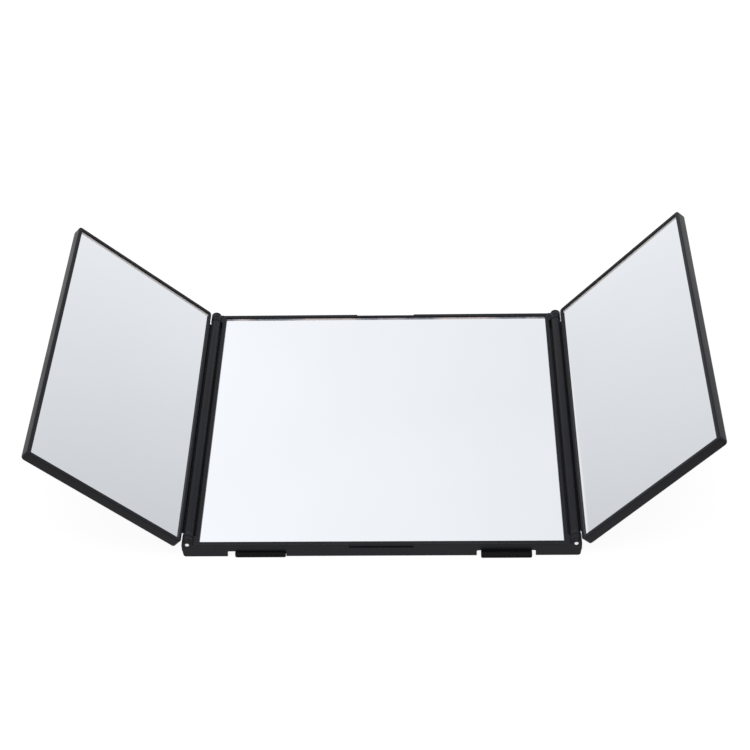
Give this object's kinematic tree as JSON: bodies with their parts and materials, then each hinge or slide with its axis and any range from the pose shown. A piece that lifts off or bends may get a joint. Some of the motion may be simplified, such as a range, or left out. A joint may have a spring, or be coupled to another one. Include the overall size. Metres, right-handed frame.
{
  "type": "tri-fold mirror",
  "caption": "Folding mirror with a wide centre panel, hinged side panels that close over it, and hanging straps that slide out of its back.",
  "frame": {"origin": "middle of the centre panel's back face", "axes": "+Z out of the centre mirror, +X to the right, -Y towards the edge that is uppermost when the mirror hangs on its straps"},
  "size_m": [0.5289, 0.2862, 0.1261],
  "materials": {
    "frame_plastic": "satin black moulded plastic",
    "strap_plastic": "dull black moulded plastic",
    "washer_plastic": "smooth dark plastic",
    "mirror_glass": "silvered float glass",
    "steel": "bright plated steel",
    "pad_rubber": "dense rubber",
    "hook_rubber": "soft rubber"
  },
  "bodies": {
    "centre_panel": {"centre_back_cover": "frame_plastic", "centre_frame": "frame_plastic", "centre_mirror": "mirror_glass", "centre_mirror_pads": "pad_rubber", "cover_screws": "steel", "left_detent_spring": "steel", "left_lower_hinge_pin": "steel", "left_lower_washer": "washer_plastic", "left_strap_rails": "strap_plastic", "left_upper_hinge_pin": "steel", "left_upper_washer": "washer_plastic", "rail_screws": "steel", "right_detent_spring": "steel", "right_lower_hinge_pin": "steel", "right_lower_washer": "washer_plastic", "right_strap_rails": "strap_plastic", "right_upper_hinge_pin": "steel", "right_upper_washer": "washer_plastic", "spring_rivets": "steel"},
    "left_wing": {"left_wing_back": "frame_plastic", "left_wing_frame": "frame_plastic", "left_wing_mirror": "mirror_glass", "left_wing_mirror_pads": "pad_rubber", "left_wing_screws": "steel"},
    "right_wing": {"right_wing_back": "frame_plastic", "right_wing_frame": "frame_plastic", "right_wing_mirror": "mirror_glass", "right_wing_mirror_pads": "pad_rubber", "right_wing_screws": "steel"},
    "left_strap": {"left_arm_pin": "steel", "left_strap": "strap_plastic"},
    "right_strap": {"right_arm_pin": "steel", "right_strap": "strap_plastic"},
    "left_hook_arm": {"left_arm_pad": "hook_rubber", "left_hook_arm": "strap_plastic", "left_tip_pin": "steel"},
    "right_hook_arm": {"right_arm_pad": "hook_rubber", "right_hook_arm": "strap_plastic", "right_tip_pin": "steel"},
    "left_hook_tip": {"left_hook_tip": "strap_plastic", "left_tip_pad": "hook_rubber"},
    "right_hook_tip": {"right_hook_tip": "strap_plastic", "right_tip_pad": "hook_rubber"}
  },
  "joints": [
    {"name": "left_wing_hinge", "type": "hinge", "parent": "centre_panel", "child": "left_wing", "pos_m": [-0.1532, 0, 0.0129], "axis": [0, 1, 0], "range_deg": [-42.9, 137.1]},
    {"name": "right_wing_hinge", "type": "hinge", "parent": "centre_panel", "child": "right_wing", "pos_m": [0.1532, 0, 0.0129], "axis": [0, -1, 0], "range_deg": [-48.7, 131.3]},
    {"name": "left_hook_arm_fold", "type": "hinge", "parent": "left_strap", "child": "left_hook_arm", "pos_m": [-0.09565, -0.0664, 0.00295], "axis": [1, 0, 0], "range_deg": [0, 90]},
    {"name": "left_hook_tip_fold", "type": "hinge", "parent": "left_hook_arm", "child": "left_hook_tip", "pos_m": [-0.09565, -0.1164, 0.00295], "axis": [1, 0, 0], "range_deg": [0, 90]},
    {"name": "left_strap_slide", "type": "slide", "parent": "centre_panel", "child": "left_strap", "axis": [0, -1, 0], "range_m": [0, 0.18]},
    {"name": "right_hook_arm_fold", "type": "hinge", "parent": "right_strap", "child": "right_hook_arm", "pos_m": [0.09865, -0.068, 0.00295], "axis": [1, 0, 0], "range_deg": [0, 90]},
    {"name": "right_hook_tip_fold", "type": "hinge", "parent": "right_hook_arm", "child": "right_hook_tip", "pos_m": [0.09865, -0.118, 0.00295], "axis": [1, 0, 0], "range_deg": [0, 90]},
    {"name": "right_strap_slide", "type": "slide", "parent": "centre_panel", "child": "right_strap", "axis": [0, -1, 0], "range_m": [0, 0.18]}
  ]
}
